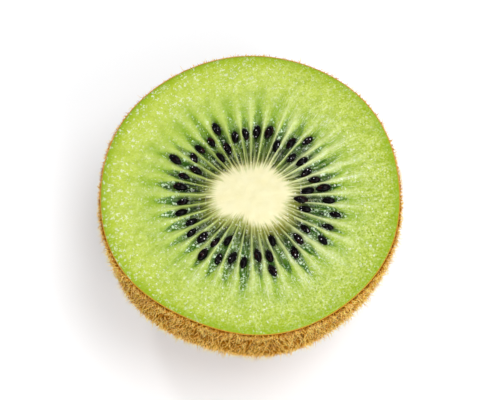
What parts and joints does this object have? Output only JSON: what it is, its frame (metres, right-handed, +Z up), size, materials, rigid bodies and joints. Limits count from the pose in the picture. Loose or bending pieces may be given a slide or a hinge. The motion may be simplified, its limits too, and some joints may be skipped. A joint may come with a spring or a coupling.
{
  "type": "kiwi fruit half",
  "caption": "Half of a fuzzy green kiwi fruit standing on its rounded end, cut face up, with a cream core, radiating seed chambers and small dark seeds.",
  "frame": {"origin": "middle of the outer box on the surface it stands on, under the cut face", "axes": "+Z up, out of the cut face; +X to the right and +Y away from the viewer as pictured, with the oval core lying along X"},
  "size_m": [0.0526, 0.0536, 0.0329],
  "materials": {
    "kiwi_flesh": "wet, freshly cut, slightly translucent flesh",
    "kiwi_skin": "thin dry skin covered in short fuzz",
    "kiwi_seed": "glossy and wet"
  },
  "bodies": {
    "root": {"kiwi_half": "kiwi_flesh"}
  },
  "joints": []
}
